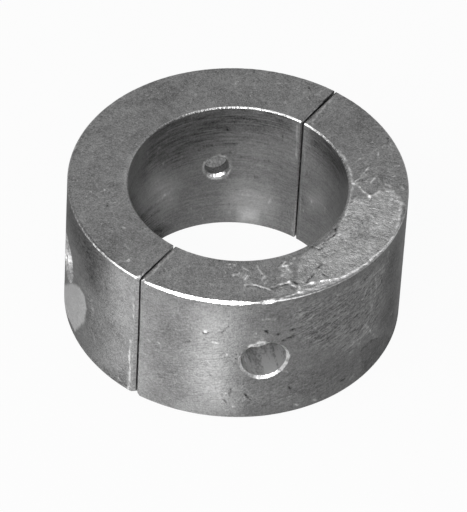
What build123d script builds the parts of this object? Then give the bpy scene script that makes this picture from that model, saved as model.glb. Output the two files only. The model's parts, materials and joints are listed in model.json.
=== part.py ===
from build123d import *
from math import radians, tan
import os

os.makedirs("parts", exist_ok=True)

# Split collar anode in cast zinc: a ring sawn into two halves, which are laid together again.
# Sizes are in mm. The collar stands on its lower face, Z runs up the middle of the bore,
# and the flats of the two halves face each other across a plane parallel to XZ.
outer_diameter = 94
bore_diameter = 61
collar_height = 44.5
split_gap = 0.5
saw_loss = 0.85  # off the half at -Y, so the two round walls close up by as much

# Screws go in from outside, square to the bore axis, with their heads sunk deep in the wall
screw_hole_diameter = 6.6  # clearance for M6
head_recess_diameter = 12.5
head_recess_depth = 11.5
drill_point_angle = 118  # leaves the floor of each recess a cone
screw_hole_count = 4
first_screw_angle = 45  # around the bore axis, from the split

# Broken edges
rim_chamfer = 0.8
bore_rim_chamfer = 0.6
split_edge_chamfer = 0.5
head_recess_chamfer = 0.7
screw_hole_chamfer = 0.6

outer_radius = outer_diameter / 2
bore_radius = bore_diameter / 2
mid_height = collar_height / 2
head_recess_radius = head_recess_diameter / 2
drill_point_length = head_recess_radius / tan(radians(drill_point_angle / 2))

# Where the centre of each half's round walls and the middle of the gap lie along Y
centre_a = -saw_loss / 2
centre_b = saw_loss / 2
split_middle = centre_a

# The ring before it is sawn
with BuildPart() as ring:
    with BuildSketch(Plane.XY) as ring_outline:
        Circle(outer_radius)
        Circle(bore_radius, mode=Mode.SUBTRACT)
    extrude(amount=collar_height)

    rims = ring.edges().filter_by(GeomType.CIRCLE).group_by(SortBy.RADIUS)
    chamfer(rims[-1], rim_chamfer)
    rims = ring.edges().filter_by(GeomType.CIRCLE).group_by(SortBy.RADIUS)
    chamfer(rims[0], bore_rim_chamfer)

    # Stepped screw holes, each drilled in as far as the axis
    for hole in range(screw_hole_count):
        angle = first_screw_angle + hole * 360 / screw_hole_count
        outward = Vector(1, 0, 0).rotate(Axis.Z, angle)
        mouth = outward * outer_radius + Vector(0, 0, mid_height)
        with Locations(Plane(origin=mouth, z_dir=outward)):
            CounterBoreHole(
                radius=screw_hole_diameter / 2,
                counter_bore_radius=head_recess_radius,
                counter_bore_depth=head_recess_depth,
                depth=outer_radius,
            )
        with Locations(Plane(origin=mouth - outward * head_recess_depth, z_dir=outward)):
            Cone(
                bottom_radius=0,
                top_radius=head_recess_radius,
                height=drill_point_length,
                align=(Align.CENTER, Align.CENTER, Align.MAX),
                mode=Mode.SUBTRACT,
            )

    # Their mouths follow the round walls, so the chamfers do too
    outer_wall = ring.faces().filter_by(GeomType.CYLINDER).sort_by(SortBy.AREA)[-1]
    chamfer(outer_wall.inner_wires().edges(), head_recess_chamfer)
    bore_wall = ring.faces().filter_by(GeomType.CYLINDER).sort_by(SortBy.AREA)[-2]
    chamfer(bore_wall.inner_wires().edges(), screw_hole_chamfer)

# The half at +Y is a whole half ring, less its share of the gap
with BuildPart() as collar_half_a:
    with Locations((0, centre_a, 0)):
        add(ring.part)
    flat_a = split_middle + split_gap / 2
    split(bisect_by=Plane.XZ.offset(-flat_a), keep=Keep.BOTTOM)
    flats = collar_half_a.faces().filter_by(Axis.Y)
    chamfer(flats.edges(), split_edge_chamfer)
collar_half_a.part.label = "collar_half_a"

# The half at -Y has lost the saw cut as well
with BuildPart() as collar_half_b:
    with Locations((0, centre_b, 0)):
        add(ring.part)
    flat_b = split_middle - split_gap / 2
    split(bisect_by=Plane.XZ.offset(-flat_b), keep=Keep.TOP)
    flats = collar_half_b.faces().filter_by(Axis.Y)
    chamfer(flats.edges(), split_edge_chamfer)
collar_half_b.part.label = "collar_half_b"

export_step(collar_half_a.part, "parts/collar_half_a.step")
export_step(collar_half_b.part, "parts/collar_half_b.step")
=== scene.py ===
import json
from math import cos, pi, radians, sin, sqrt, tan, tau

import bmesh
import bpy
import numpy as np
from mathutils import Matrix, Vector, noise


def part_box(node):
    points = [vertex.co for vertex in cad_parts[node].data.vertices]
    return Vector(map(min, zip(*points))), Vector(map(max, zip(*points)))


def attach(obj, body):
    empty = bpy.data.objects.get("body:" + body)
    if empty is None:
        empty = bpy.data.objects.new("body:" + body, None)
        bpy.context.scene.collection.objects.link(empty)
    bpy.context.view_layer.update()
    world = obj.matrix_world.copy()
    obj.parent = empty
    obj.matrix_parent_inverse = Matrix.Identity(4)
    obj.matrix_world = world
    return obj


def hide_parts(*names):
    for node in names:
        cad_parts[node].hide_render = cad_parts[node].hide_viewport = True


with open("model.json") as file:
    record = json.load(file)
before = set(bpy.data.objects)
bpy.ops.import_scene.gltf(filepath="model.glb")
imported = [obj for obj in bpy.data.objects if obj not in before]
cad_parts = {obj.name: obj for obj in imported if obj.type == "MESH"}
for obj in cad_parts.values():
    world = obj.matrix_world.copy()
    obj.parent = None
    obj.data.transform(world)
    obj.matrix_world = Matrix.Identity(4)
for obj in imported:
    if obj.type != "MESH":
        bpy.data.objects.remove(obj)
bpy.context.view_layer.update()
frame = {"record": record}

bl_info = {
    "name": "Split Collar Anode",
    "version": (1, 0, 0),
    "blender": (4, 5, 0),
    "location": "3D View > Sidebar > Anode",
    "description": "Two halves of a bare zinc collar anode, laid together on a pale studio floor",
    "category": "Object",
}

MM = 0.001
STATED = {mount["name"]: mount for mount in frame["record"]["mounts"]}
LOWEST_A, HIGHEST_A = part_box("collar_half_a")
_, HIGHEST_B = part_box("collar_half_b")
SPLIT_MIDDLE = (LOWEST_A.y + HIGHEST_B.y) / 2


def stated_radius(mount_name):
    """Radius of a round mount in metres, as the record states it."""
    return STATED[mount_name]["dims"]["r_mm"] * MM


def to_linear(colour):
    """Linear RGBA from an sRGB hex string."""
    channels = [int(colour[i : i + 2], 16) / 255 for i in (1, 3, 5)]
    return [c / 12.92 if c <= 0.04045 else ((c + 0.055) / 1.055) ** 2.4 for c in channels] + [1.0]


def length(name, description, default):
    """A property that holds one size in metres."""
    return bpy.props.FloatProperty(
        name=name, description=description, default=default, unit="LENGTH", precision=5)


def colour(name, description, default):
    """A property that holds one colour, whose default is an sRGB hex string."""
    return bpy.props.FloatVectorProperty(
        name=name, description=description, default=to_linear(default)[:3],
        size=3, min=0, max=1, subtype="COLOR")


class AnodeSizes(bpy.types.PropertyGroup):
    """Sizes of the two castings."""

    outer_radius: length(
        "Outer Radius", "Radius of the outer wall", round(HIGHEST_A.y - SPLIT_MIDDLE, 5))
    bore_radius: length("Bore Radius", "Radius of the bore wall", 30.5 * MM)
    height: length("Height", "Height of the collar", round(HIGHEST_A.z, 5))
    half_gap: length(
        "Half Gap", "From the middle of the split to a half's flat",
        round((LOWEST_A.y - HIGHEST_B.y) / 2, 6))
    saw_loss: length(
        "Saw Loss", "What the saw took off the flat of the second half", round(-2 * SPLIT_MIDDLE, 6))
    rim_break: length("Rim Break", "Chamfer of the two outer rims", 0.85 * MM)
    bore_rim_break: length("Bore Rim Break", "Chamfer of the two bore rims", 0.38 * MM)
    split_break: length(
        "Split Break", "Chamfer of each flat's edges along the end faces", 0.35 * MM)
    split_wall_break: length("Split Wall Break", "Chamfer of each flat's upright edges", 0.7 * MM)
    filed_corner: length(
        "Filed Corner", "How far the corners at the front of the split are filed back", 2.2 * MM)
    eased_corner: length(
        "Eased Corner", "How far the corners at the back of the split are eased", 0.9 * MM)
    screw_radius: length(
        "Screw Hole Radius", "Radius of the screw holes", stated_radius("screw_hole_1"))
    recess_radius: length(
        "Head Recess Radius", "Radius of the recesses for the screw heads",
        stated_radius("head_recess_1"))
    recess_depth: length(
        "Head Recess Depth", "Depth of the recesses below the outer wall", 11.5 * MM)
    drill_point: bpy.props.FloatProperty(
        name="Drill Point", description="Angle of the cone that the drill leaves in each recess",
        default=radians(118), unit="ROTATION")
    recess_break: length("Recess Break", "Chamfer of the recess mouths", 0.7 * MM)
    screw_hole_break: length(
        "Screw Hole Break", "Chamfer of the screw holes at the bore wall", 0.6 * MM)
    unevenness: length("Unevenness", "Height of the broad waves that casting left", 0.10 * MM)
    ripple: length("Ripple", "Height of the small ripples of the cast skin", 0.012 * MM)


class AnodeColours(bpy.types.PropertyGroup):
    """Colours of the metal and of the stage."""

    zinc: colour("Zinc", "Colour of the dull outer wall and the faced ends", "#979797")
    bored: colour("Bored Zinc", "Colour of the bore wall", "#9e9e9e")
    filed: colour(
        "Filed Zinc", "Colour of the rims, the split faces and the mouths of the holes", "#c8c8c8")
    drilled: colour("Drilled Zinc", "Colour inside the holes", "#dcdcdc")
    floor: colour("Floor", "Colour of the studio floor", "#a8a8a8")


def add(tree, kind, inputs=None, **settings):
    """Add a node with its settings, and give its inputs values or links."""
    node = tree.nodes.new(kind)
    for name, value in settings.items():
        setattr(node, name, value)
    for key, value in (inputs or {}).items():
        if isinstance(value, bpy.types.NodeSocket):
            tree.links.new(value, node.inputs[key])
        else:
            node.inputs[key].default_value = value
    return node


def mesh_object(name, points, faces=(), edges=()):
    """A new object in the scene made from points and faces or edges."""
    mesh = bpy.data.meshes.new(name)
    mesh.from_pydata([tuple(p) for p in points], list(edges), list(faces))
    mesh.update()
    piece = bpy.data.objects.new(name, mesh)
    bpy.context.scene.collection.objects.link(piece)
    return piece


def discard(piece):
    """Remove a helper object and its mesh."""
    mesh = piece.data
    bpy.data.objects.remove(piece)
    bpy.data.meshes.remove(mesh)


# ---- Shape of a half, in the place of the one at +Y ----

# steps round a half, how far it runs on past its flat before it is cut, and the
# breadth along each edge of the section in which its points are closer together
TURN_STEPS = 400
OVERRUN = radians(6)
FINE_ZONE = 1.6 * MM
DRILL_SIDES = 96
SLIVER = 0.02 * MM


def stations(length, step, fine):
    """Places along one side of the section, closer together near its two ends."""
    near = max(1, round(FINE_ZONE / fine))
    middle = max(1, round((length - 2 * FINE_ZONE) / step))
    places = [FINE_ZONE * i / near for i in range(near)]
    places += [FINE_ZONE + (length - 2 * FINE_ZONE) * i / middle for i in range(middle)]
    return places + [length - FINE_ZONE + FINE_ZONE * i / near for i in range(near)]


def ring_section(sizes):
    """Closed outline of the wall: X is out from the bore wall, and Y is down."""
    wall = sizes.outer_radius - sizes.bore_radius
    top = sizes.height
    rim, bore_rim = sizes.rim_break, sizes.bore_rim_break
    chamfer_step = 0.2 * MM
    # each side's start, the distance between its points, and that near its ends
    sides = (
        ((wall, rim), 0.5 * MM, 0.22 * MM),
        ((wall, top - rim), None, chamfer_step),
        ((wall - rim, top), 0.3 * MM, 0.2 * MM),
        ((bore_rim, top), None, chamfer_step),
        ((0, top - bore_rim), 0.8 * MM, 0.22 * MM),
        ((0, bore_rim), None, chamfer_step),
        ((bore_rim, 0), 1.5 * MM, 0.4 * MM),
        ((wall - rim, 0), None, chamfer_step),
    )
    points = []
    for (start, step, fine), (end, _, _) in zip(sides, sides[1:] + sides[:1]):
        start, end = Vector(start), Vector(end)
        length = (end - start).length
        parts = max(1, round(length / fine))
        places = stations(length, step, fine) if step else [length * i / parts for i in range(parts)]
        points += [start.lerp(end, place / length) for place in places]
    points = [(x, -y, 0) for x, y in reversed(points)]
    edges = [(i, (i + 1) % len(points)) for i in range(len(points))]
    return mesh_object("ring_section", points, edges=edges)


def step_drill(sizes):
    """What a screw hole takes out of the wall, along +X at mid-height.

    Its chamfers bend with the two round walls, so they are as wide all the way round.
    """
    clear, past = 0.3 * MM, 3 * MM
    screw, recess = sizes.screw_radius, sizes.recess_radius
    floor = sizes.outer_radius - sizes.recess_depth
    tip = floor - (recess - screw) / tan(sizes.drill_point / 2)
    inner, outer = sizes.bore_radius, sizes.outer_radius
    hole_break, mouth_break = sizes.screw_hole_break, sizes.recess_break
    # each ring's radius, its place along X, and the wall that this place is measured from
    rings = (
        (screw + hole_break + clear, inner - past, None),
        (screw + hole_break + clear, -clear, inner),
        (screw, hole_break, inner),
        (screw, tip, None),
        (recess, floor, None),
        (recess, -mouth_break, outer),
        (recess + mouth_break + clear, clear, outer),
        (recess + mouth_break + clear, outer + past, None),
    )
    points = []
    for radius, along, wall in rings:
        for i in range(DRILL_SIDES):
            angle = tau * i / DRILL_SIDES
            y, z = radius * cos(angle), radius * sin(angle)
            x = along + (sqrt(wall**2 - y**2) if wall else 0)
            points.append((x, y, z + sizes.height / 2))
    faces = [tuple(reversed(range(DRILL_SIDES)))]
    for ring in range(len(rings) - 1):
        for i in range(DRILL_SIDES):
            a, b = ring * DRILL_SIDES + i, ring * DRILL_SIDES + (i + 1) % DRILL_SIDES
            faces.append((a, b, b + DRILL_SIDES, a + DRILL_SIDES))
    last = (len(rings) - 1) * DRILL_SIDES
    faces.append(tuple(range(last, last + DRILL_SIDES)))
    return mesh_object("step_drill", points, faces)


def file_block(sizes, cut, front):
    """Blocks that stand for what the saw and the file take off one half at its flat.

    The first takes everything behind the flat, and each of the others has one face
    that cuts across an edge or a corner of one of the half's two ends. Front is the
    side, -1 or 1 along X, on which the corners are filed back further.
    """
    inner, outer, top = sizes.bore_radius, sizes.outer_radius, sizes.height
    edge, upright = sizes.split_break, sizes.split_wall_break
    middle = (inner + outer) / 2
    # a point that the face goes through, the way that it faces, and the block's breadth
    cuts = [((0, cut, top / 2), (0, -1, 0), 80 * MM)]
    for side in (-1, 1):
        corner = sizes.filed_corner if side == front else sizes.eased_corner
        cuts += [
            ((side * (outer - upright), cut, top / 2), (side, -1, 0), 40 * MM),
            ((side * (inner + edge), cut, top / 2), (-side, -1, 0), 40 * MM),
            ((side * middle, cut, top - edge), (0, -1, 1), 15 * MM),
            ((side * middle, cut, edge), (0, -1, -1), 15 * MM),
            ((side * (outer - corner), cut, top), (side, -1, 1), 8 * MM),
            ((side * (outer - corner), cut, 0), (side, -1, -1), 8 * MM),
        ]
    points, faces = [], []
    for place, facing, breadth in cuts:
        facing = Vector(facing).normalized()
        turn = facing.to_track_quat("Z", "Y").to_matrix()
        start = len(points)
        for k in (0, 1):
            for x, y in ((-1, -1), (1, -1), (1, 1), (-1, 1)):
                points.append(Vector(place) + turn @ Vector((x, y, k)) * breadth)
        faces += [tuple(start + i for i in face) for face in (
            (3, 2, 1, 0), (4, 5, 6, 7), (0, 1, 5, 4), (1, 2, 6, 5), (2, 3, 7, 6), (3, 0, 4, 7))]
    return mesh_object("file_block", points, faces)


def half_ring_tree():
    """Nodes that sweep the section round, ripple it like cast metal and cut it to shape."""
    tree = bpy.data.node_groups.new("half_ring", "GeometryNodeTree")
    tree.interface.new_socket("Geometry", in_out="OUTPUT", socket_type="NodeSocketGeometry")
    for name, kind in (
        ("Section", "Geometry"), ("Drill", "Object"), ("Files", "Object"),
        ("Bore Radius", "Float"), ("Height", "Float"), ("Overrun", "Float"),
        ("Turn Steps", "Int"), ("Hole Count", "Int"), ("First Hole", "Float"),
        ("Hole Spacing", "Float"), ("Unevenness", "Float"), ("Ripple", "Float"),
        ("Seed", "Float"), ("Metal", "Material"),
    ):
        tree.interface.new_socket(name, in_out="INPUT", socket_type="NodeSocket" + kind)
    given = add(tree, "NodeGroupInput").outputs

    # the bore's circle, run on past the flat at both ends
    sweep = add(tree, "ShaderNodeMath", {
        0: given["Overrun"], 1: 2.0, 2: pi}, operation="MULTIPLY_ADD")
    start = add(tree, "ShaderNodeMath", {0: given["Overrun"], 1: -1.0}, operation="MULTIPLY")
    arc = add(tree, "GeometryNodeCurveArc", {
        "Resolution": given["Turn Steps"], "Radius": given["Bore Radius"],
        "Start Angle": start.outputs[0], "Sweep Angle": sweep.outputs[0]}, mode="RADIUS")
    upright = add(tree, "GeometryNodeSetCurveNormal", {"Curve": arc.outputs["Curve"]}, mode="Z_UP")
    outline = add(tree, "GeometryNodeMeshToCurve", {"Mesh": given["Section"]})
    ring = add(tree, "GeometryNodeCurveToMesh", {
        "Curve": upright.outputs["Curve"], "Profile Curve": outline.outputs["Curve"],
        "Fill Caps": True})

    # broad waves, about 12 mm long, and small ripples, about 2.5 mm, along the normals
    place = add(tree, "GeometryNodeInputPosition")
    lift = 0.0
    for scale, height in ((80.0, given["Unevenness"]), (400.0, given["Ripple"])):
        waves = add(tree, "ShaderNodeTexNoise", {
            "Vector": place.outputs[0], "W": given["Seed"], "Scale": scale, "Detail": 2.0},
            noise_dimensions="4D")
        centred = add(tree, "ShaderNodeMath", {0: waves.outputs[0], 1: 0.5}, operation="SUBTRACT")
        lift = add(tree, "ShaderNodeMath", {
            0: centred.outputs[0], 1: height, 2: lift}, operation="MULTIPLY_ADD").outputs[0]
    normal = add(tree, "GeometryNodeInputNormal")
    offset = add(tree, "ShaderNodeVectorMath", {
        0: normal.outputs[0], "Scale": lift}, operation="SCALE")
    rippled = add(tree, "GeometryNodeSetPosition", {
        "Geometry": ring.outputs["Mesh"], "Offset": offset.outputs[0]})

    # a drill at each screw hole
    holes = add(tree, "GeometryNodeMeshLine", {
        "Count": given["Hole Count"], "Offset": (0, 0, 0)}, mode="OFFSET", count_mode="TOTAL")
    index = add(tree, "GeometryNodeInputIndex")
    angle = add(tree, "ShaderNodeMath", {
        0: index.outputs[0], 1: given["Hole Spacing"], 2: given["First Hole"]},
        operation="MULTIPLY_ADD")
    turn = add(tree, "ShaderNodeCombineXYZ", {"Z": angle.outputs[0]})
    drill = add(tree, "GeometryNodeObjectInfo", {"Object": given["Drill"]})
    drills = add(tree, "GeometryNodeInstanceOnPoints", {
        "Points": holes.outputs["Mesh"], "Instance": drill.outputs["Geometry"],
        "Rotation": turn.outputs[0]})
    solid_drills = add(tree, "GeometryNodeRealizeInstances", {"Geometry": drills.outputs[0]})

    # the blocks overlap, so they are made one solid before they cut
    files = add(tree, "GeometryNodeObjectInfo", {"Object": given["Files"]})
    one_file = add(tree, "GeometryNodeMeshBoolean", {
        "Mesh 2": files.outputs["Geometry"], "Self Intersection": True},
        operation="UNION", solver="EXACT")
    cut = add(tree, "GeometryNodeMeshBoolean", {"Mesh 1": rippled.outputs[0]},
              operation="DIFFERENCE", solver="MANIFOLD")
    tree.links.new(one_file.outputs["Mesh"], cut.inputs["Mesh 2"])
    tree.links.new(solid_drills.outputs[0], cut.inputs["Mesh 2"])
    real = add(tree, "GeometryNodeRealizeInstances", {"Geometry": cut.outputs["Mesh"]})
    metal = add(tree, "GeometryNodeSetMaterial", {
        "Geometry": real.outputs[0], "Material": given["Metal"]})
    add(tree, "NodeGroupOutput", {0: metal.outputs[0]})
    return tree


def evaluated(piece, tree, values):
    """The plain mesh that a tree makes of a piece, with the tree's inputs set by name."""
    modifier = piece.modifiers.new(tree.name, "NODES")
    modifier.node_group = tree
    for socket in tree.interface.items_tree:
        if socket.in_out == "INPUT" and socket.name in values:
            modifier[socket.identifier] = values[socket.name]
    graph = bpy.context.evaluated_depsgraph_get()
    mesh = bpy.data.meshes.new_from_object(piece.evaluated_get(graph))
    piece.modifiers.remove(modifier)
    return mesh


def without_slivers(mesh):
    """Close up the needle-thin faces that the cuts leave where two surfaces nearly touch."""
    work = bmesh.new()
    work.from_mesh(mesh)
    bmesh.ops.dissolve_degenerate(work, dist=SLIVER, edges=work.edges)
    bmesh.ops.triangulate(work, faces=[face for face in work.faces if len(face.verts) > 4])
    work.to_mesh(mesh)
    work.free()


# ---- Finishes ----
# All of them are one bare zinc, whose colour is a property. They differ in how the surface was made.
# Every finish reads the attribute "around": how far round the wall, out from its centre and up a
# point is. The real grit and tool marks are near 0.1 mm, too fine to show, so they are drawn
# 0.4 to 1 mm wide.

# the part of a pattern's swing from 0 to 1 that is taken up, since its ends are rarely reached
PATTERN_LOW, PATTERN_HIGH = 0.36, 0.64
# how much of its colour the metal shows at least, and how much light it may give back at most
LEAST_SHOWN, MOST_REFLECTED = 0.12, 0.95
# how much darker and brighter torn metal is, and how many times as rough
TORN_DARKEST, TORN_BRIGHTEST, TORN_RELIEF = -0.6, 0.8, 3.0


def blended(tree, shares):
    """The sum of patterns, each times its share."""
    total = 0.0
    for share, pattern in shares:
        total = add(tree, "ShaderNodeMath", {
            0: pattern, 1: share, 2: total}, operation="MULTIPLY_ADD").outputs[0]
    return total


def layered_grain(tree, place, seed, layers):
    """A pattern from 0 to 1 out of noises, each with its share and its size in mm round, out and up."""
    speckles = []
    for share, sizes in layers:
        seed += 1.0
        scaled = add(tree, "ShaderNodeMapping", {
            "Vector": place, "Scale": [1 / (size * MM) for size in sizes]})
        speckle = add(tree, "ShaderNodeTexNoise", {
            "Vector": scaled.outputs[0], "W": seed, "Scale": 1.0, "Detail": 2.0},
            noise_dimensions="4D")
        speckles.append((share, speckle.outputs[0]))
    return blended(tree, speckles)


def bare_zinc(name, roughness, anisotropy=0.0):
    """A new bare zinc: its material, tree, shader and where on the casting a point is.

    With anisotropy, the grooves run round the casting and stretch a reflection across them.
    """
    finish = bpy.data.materials.new(name)
    finish.use_nodes = True
    tree = finish.node_tree
    shader = tree.nodes["Principled BSDF"]
    shader.inputs["Metallic"].default_value = 1.0
    shader.inputs["Roughness"].default_value = roughness
    if anisotropy:
        shader.inputs["Anisotropic"].default_value = anisotropy
        shader.inputs["Anisotropic Rotation"].default_value = 0.25
        tangent = add(tree, "ShaderNodeTangent", direction_type="UV_MAP", uv_map="unrolled")
        tree.links.new(tangent.outputs[0], shader.inputs["Tangent"])
    place = add(tree, "ShaderNodeAttribute", attribute_name="around").outputs["Vector"]
    return finish, tree, shader, place


def weather(tree, shader, zinc, shade, contrast, torn_look):
    """Colour a zinc darker and lighter than it is by a shade from 0 to 1, as far as the contrast says.

    The marks' own brightness comes on top, with painted highlights, reflections and shade among it, and
    so does the look of torn metal where it is torn.
    """
    marks_with_painted_light = add(tree, "ShaderNodeAttribute", attribute_name="shine").outputs["Fac"]
    torn = add(tree, "ShaderNodeAttribute", attribute_name="torn").outputs["Fac"]
    swing = add(tree, "ShaderNodeMapRange", {
        "Value": shade, "From Min": PATTERN_LOW, "From Max": PATTERN_HIGH,
        "To Min": 1 - contrast, "To Max": 1 + contrast})
    crumbs = add(tree, "ShaderNodeMapRange", {
        "Value": torn_look, "From Min": PATTERN_LOW, "From Max": PATTERN_HIGH,
        "To Min": TORN_DARKEST, "To Max": TORN_BRIGHTEST})
    level = add(tree, "ShaderNodeMath", {0: swing.outputs[0], 1: marks_with_painted_light}, operation="ADD")
    level = add(tree, "ShaderNodeMath", {
        0: crumbs.outputs[0], 1: torn, 2: level.outputs[0]}, operation="MULTIPLY_ADD")
    level = add(tree, "ShaderNodeClamp", {
        "Value": level.outputs[0], "Min": LEAST_SHOWN, "Max": MOST_REFLECTED / max(zinc)})
    shown = add(tree, "ShaderNodeVectorMath", {
        0: tuple(zinc), "Scale": level.outputs[0]}, operation="SCALE")
    tree.links.new(shown.outputs[0], shader.inputs["Base Color"])
    return add(tree, "ShaderNodeMath", {0: torn_look, 1: torn}, operation="MULTIPLY").outputs[0]


def raise_pattern(tree, shader, pattern, torn_pattern, height):
    """Bump a surface by a pattern from 0 to 1, and more where it is torn; the height is in mm."""
    relief = add(tree, "ShaderNodeMath", {
        0: torn_pattern, 1: TORN_RELIEF, 2: pattern}, operation="MULTIPLY_ADD")
    bump = add(tree, "ShaderNodeBump", {"Height": relief.outputs[0], "Distance": height * MM})
    tree.links.new(bump.outputs[0], shader.inputs["Normal"])


def cast_zinc_skin(colours):
    """Turned outer wall, gone dull: grooves round it draw a lamp out into a soft upright band."""
    finish, tree, shader, place = bare_zinc("turned_dull_zinc", 0.50, 0.95)
    grooves = layered_grain(tree, place, 10, ((0.6, (5, 1, 0.45)), (0.4, (1.5, 1, 0.6))))
    grain = layered_grain(tree, place, 20, ((0.6, (0.5, 0.7, 0.5)), (0.4, (1.1, 1.1, 0.9))))
    cloud = layered_grain(tree, place, 30, ((0.6, (14, 14, 10)), (0.4, (5, 5, 4))))
    # scuffs climb a little as they go round
    turned = add(tree, "ShaderNodeVectorRotate", {
        "Vector": place, "Angle": radians(18)}, rotation_type="Y_AXIS")
    scuffs = layered_grain(tree, turned.outputs[0], 35, ((0.6, (2.2, 2, 0.5)), (0.4, (0.8, 1, 0.6))))
    shade = blended(tree, ((0.65, grain), (0.35, cloud)))
    torn = weather(tree, shader, colours.zinc, shade, 0.42, scuffs)
    relief = add(tree, "ShaderNodeMath", {0: grooves, 1: grain}, operation="ADD")
    raise_pattern(tree, shader, relief.outputs[0], torn, 0.16)
    return finish


def faced_zinc(colours):
    """Faced end: matt, with a fine even mottle and small bright nicks."""
    finish, tree, shader, place = bare_zinc("faced_zinc", 0.50)
    grain = layered_grain(tree, place, 40, ((0.6, (0.45, 0.45, 0.45)), (0.4, (1.0, 1.0, 1.0))))
    cloud = layered_grain(tree, place, 50, ((0.6, (16, 16, 16)), (0.4, (5, 5, 5))))
    crumbs = layered_grain(tree, place, 55, (
        (0.3, (3.5, 3.5, 3.5)), (0.3, (1.1, 1.1, 1.1)), (0.4, (0.4, 0.4, 0.4))))
    nicks = layered_grain(tree, place, 58, ((1.0, (0.8, 0.8, 0.8)),))
    shade = blended(tree, ((0.7, grain), (0.3, cloud)))
    bright = add(tree, "ShaderNodeMapRange", {
        "Value": nicks, "From Min": 0.65, "From Max": 0.72, "To Min": 0.0, "To Max": 0.4})
    shade = add(tree, "ShaderNodeMath", {0: shade, 1: bright.outputs[0]}, operation="ADD")
    torn = weather(tree, shader, colours.zinc, shade.outputs[0], 0.55, crumbs)
    raise_pattern(tree, shader, grain, torn, 0.18)
    return finish


def bored_zinc(colours):
    """Bore wall: turned to size, with the tool's rings round it."""
    finish, tree, shader, place = bare_zinc("bored_zinc", 0.46, 0.75)
    rings = layered_grain(tree, place, 60, ((0.6, (14, 1, 0.5)), (0.4, (5, 1, 0.9))))
    grain = layered_grain(tree, place, 70, ((1.0, (0.7, 0.7, 0.45)),))
    shade = blended(tree, ((0.5, rings), (0.5, grain)))
    torn = weather(tree, shader, colours.bored, shade, 0.28, rings)
    relief = add(tree, "ShaderNodeMath", {0: rings, 1: grain}, operation="ADD")
    raise_pattern(tree, shader, relief.outputs[0], torn, 0.08)
    return finish


def filed_zinc(colours):
    """Rims and split faces: filed bright, so they catch the light."""
    finish, tree, shader, place = bare_zinc("filed_zinc", 0.34)
    grain = layered_grain(tree, place, 80, ((1.0, (0.9, 0.9, 0.6)),))
    torn = weather(tree, shader, colours.filed, grain, 0.25, grain)
    raise_pattern(tree, shader, grain, torn, 0.12)
    return finish


def drilled_zinc(colours):
    """Screw holes: cut bright by the drill, which left streaks down their walls."""
    finish, tree, shader, place = bare_zinc("drilled_zinc", 0.42)
    grain = layered_grain(tree, place, 90, ((0.4, (3.0, 4, 3.0)), (0.6, (0.7, 0.9, 0.7))))
    torn = weather(tree, shader, colours.drilled, grain, 0.4, grain)
    raise_pattern(tree, shader, grain, torn, 0.14)
    return finish


# ---- The camera's stand ----
# The camera stands out from a pivot, the middle of half A's top: so many degrees round from the
# middle of half B and up from level, and so many metres away. It aims aside of the pivot and below it.

CAMERA_PIVOT = (0, -0.000425, 0.0445)
CAMERA_ROUND, CAMERA_RISE, CAMERA_ROLL = radians(57.5062), radians(43.3587), radians(3.3125)
CAMERA_AWAY, CAMERA_ASIDE, CAMERA_BELOW = 1.41, -0.00048927, 0.02778875
# its view in pixels, how many of them the lens spreads over a radian, and its sensor in mm
VIEW_WIDTH, VIEW_HEIGHT, PIXELS_PER_RADIAN = 467, 512, 5169.9
SENSOR = 36


def camera_stand():
    """The camera's place, and the ways to its right, to its top and back from what it looks at."""
    aside = np.array((cos(CAMERA_ROUND), -sin(CAMERA_ROUND), 0))
    outward = np.array((-sin(CAMERA_ROUND), -cos(CAMERA_ROUND), 0))
    upright = np.array((0, 0, 1))
    place = CAMERA_PIVOT + CAMERA_AWAY * (cos(CAMERA_RISE) * outward + sin(CAMERA_RISE) * upright)
    aim = CAMERA_PIVOT + CAMERA_ASIDE * aside - CAMERA_BELOW * upright
    back = (place - aim) / np.linalg.norm(place - aim)
    level = np.cross(upright, back)
    level /= np.linalg.norm(level)
    right = cos(CAMERA_ROLL) * level + sin(CAMERA_ROLL) * np.cross(back, level)
    return place, right, np.cross(back, right), back


# ---- Marks that pouring, turning and handling left, and painted highlights, reflections and shade ----
# Each mark is placed in the camera's view. Its points are pairs of numbers, pixels across
# from the left and down from the top, and sight lines carry them on to the half. Other lengths are
# in mm.
# A line has its height, how much brighter it is, half its width and its points.
# A patch has how torn and how much brighter it is, how far in from its outline that fades, and the
# points of its outline.

# some groups paint highlights, reflections and shade into the brightness, as the comment above each
# says
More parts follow.
